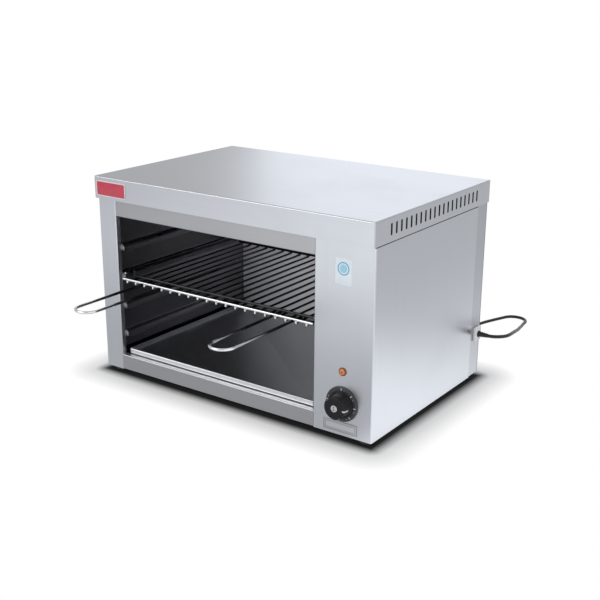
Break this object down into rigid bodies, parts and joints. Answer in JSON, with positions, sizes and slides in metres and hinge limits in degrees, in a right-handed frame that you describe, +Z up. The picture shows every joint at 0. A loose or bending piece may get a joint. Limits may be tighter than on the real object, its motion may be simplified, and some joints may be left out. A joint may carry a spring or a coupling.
{
  "type": "cheese melter",
  "caption": "Open-front countertop cheese melter: folded stainless casing, overhead hairpin elements, sliding wire rack with loop handles, crumb tray, thermostat knob and lamp.",
  "frame": {"origin": "on the worktop, under the middle of the casing's rectangular footprint", "axes": "+X towards the control panel's side, -Y towards the open front, +Z up"},
  "size_m": [0.6541, 0.9143, 0.38],
  "materials": {
    "casing_steel": "satin",
    "screw_steel": "satin",
    "lining_steel": "polished",
    "tray_steel": "satin",
    "element_steel": "matte",
    "rack_chrome": "polished",
    "mineral_wool": "matte",
    "ceramic": "matte",
    "brass_fitting": "satin",
    "sensor_copper": "satin",
    "knob_black": "satin",
    "dial_black": "satin",
    "cap_silver": "satin",
    "mark_white": "gloss",
    "lamp_amber": "gloss",
    "bezel_brown": "gloss",
    "wire_red": "gloss",
    "gland_white": "satin",
    "cord_rubber": "matte",
    "tie_black": "matte",
    "foot_rubber": "matte",
    "pin_nickel": "polished",
    "badge_red": "gloss",
    "rating_foil": "satin"
  },
  "bodies": {
    "casing": {"lid": "casing_steel", "left_casing": "casing_steel", "right_casing": "casing_steel", "top_rail": "casing_steel", "bottom_rail": "casing_steel", "rear_posts": "casing_steel", "rear_panel": "casing_steel", "rear_screws": "screw_steel", "base_plate": "casing_steel", "feet": "foot_rubber", "foot_screws": "screw_steel", "lid_screws": "screw_steel", "liner_left": "lining_steel", "liner_right": "lining_steel", "liner_back": "lining_steel", "ceiling_reflector": "lining_steel", "top_insulation": "mineral_wool", "side_insulation": "mineral_wool", "tray_ledges": "lining_steel", "element_front": "element_steel", "element_middle": "element_steel", "element_rear": "element_steel", "element_supports": "lining_steel", "element_fittings": "brass_fitting", "element_terminals": "ceramic", "sensor_bulb": "sensor_copper", "bulb_clips": "screw_steel", "capillary": "sensor_copper", "thermostat_body": "ceramic", "thermostat_screws": "screw_steel", "dial_ring": "dial_black", "dial_marks": "mark_white", "lamp_lens": "lamp_amber", "lamp_bezel": "bezel_brown", "lamp_barrel": "ceramic", "lamp_nut": "screw_steel", "terminal_block": "ceramic", "wiring": "wire_red", "earth_stud": "brass_fitting", "cord_gland": "gland_white", "gland_nut": "gland_white", "cord_relief": "cord_rubber", "power_cord": "cord_rubber", "cord_coil": "cord_rubber", "cord_tail": "cord_rubber", "cord_tie": "tie_black", "plug_body": "cord_rubber", "plug_pins": "pin_nickel", "badge_plate": "badge_red", "rating_plate": "rating_foil"},
    "knob": {"knob": "knob_black", "knob_cap": "cap_silver", "knob_pointer": "mark_white", "thermostat_spindle": "screw_steel"},
    "rack": {"rack_long_rods": "rack_chrome", "rack_cross_rods": "rack_chrome", "rack_side_rails": "rack_chrome", "rack_handles": "rack_chrome"},
    "tray": {"crumb_tray": "tray_steel"}
  },
  "joints": [
    {"name": "knob_turn", "type": "hinge", "parent": "casing", "child": "knob", "pos_m": [0.24175, -0.2, 0.0645], "axis": [0, 1, 0], "range_deg": [-93, 186]},
    {"name": "rack_slide", "type": "slide", "parent": "casing", "child": "rack", "axis": [0, -1, 0], "range_m": [0, 0.3]},
    {"name": "tray_slide", "type": "slide", "parent": "casing", "child": "tray", "axis": [0, -1, 0], "range_m": [0, 0.3]}
  ]
}
